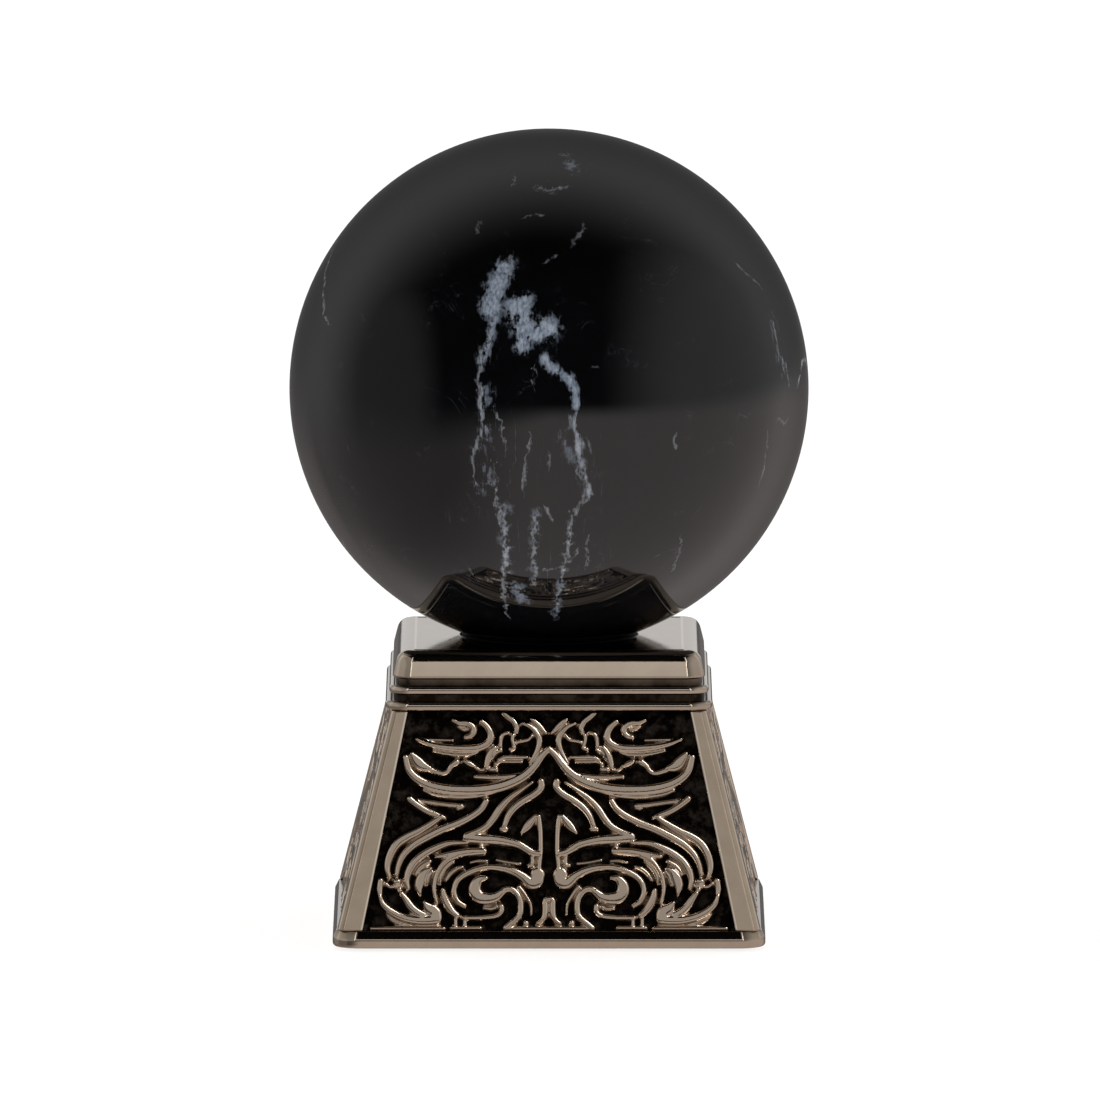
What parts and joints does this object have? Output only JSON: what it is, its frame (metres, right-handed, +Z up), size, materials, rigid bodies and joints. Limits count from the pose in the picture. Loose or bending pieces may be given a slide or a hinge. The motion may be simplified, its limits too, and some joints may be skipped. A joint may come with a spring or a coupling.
{
  "type": "crystal ball",
  "caption": "Polished veined stone ball resting in a soft ring on a flared square metal stand with scroll relief panels, corner posts, a beaded collar and a moulded plinth.",
  "frame": {"origin": "centre of the underside of the felt pad, on the surface that the stand rests on", "axes": "+Z up through the middle of the stand and the ball; -Y is the front panel's side, +X the right panel's side"},
  "size_m": [0.1, 0.1, 0.154],
  "materials": {
    "ball_stone": "polished, with pale blue-grey veins",
    "seat_rubber": "matt",
    "stand_metal": "antique nickel plated casting, satin",
    "panel_metal": "antique nickel plated relief casting, dark patina in the hollows",
    "bottom_steel": "plain sheet and tube",
    "screw_steel": "zinc plated",
    "pad_felt": "pressed wool felt"
  },
  "bodies": {
    "stand": {"cap_plate": "stand_metal", "collar": "stand_metal", "post_front_right": "stand_metal", "post_back_right": "stand_metal", "post_back_left": "stand_metal", "post_front_left": "stand_metal", "panel_front": "panel_metal", "panel_right": "panel_metal", "panel_back": "panel_metal", "panel_left": "panel_metal", "plinth": "stand_metal", "bottom_plate": "bottom_steel", "felt_pad": "pad_felt", "tie_bolt": "screw_steel", "tie_washer": "screw_steel", "tie_nut": "screw_steel", "spacer_tube": "bottom_steel"},
    "cushion": {"seat_ring": "seat_rubber"},
    "stone_ball": {"ball": "ball_stone"}
  },
  "joints": [
    {"name": "cushion_turn", "type": "hinge", "parent": "stand", "child": "cushion", "pos_m": [0, 0, 0.0524], "axis": [0, 0, 1], "continuous": true},
    {"name": "ball_lift", "type": "slide", "parent": "cushion", "child": "stone_ball", "axis": [0, 0, 1], "range_m": [0, 0.12]}
  ]
}
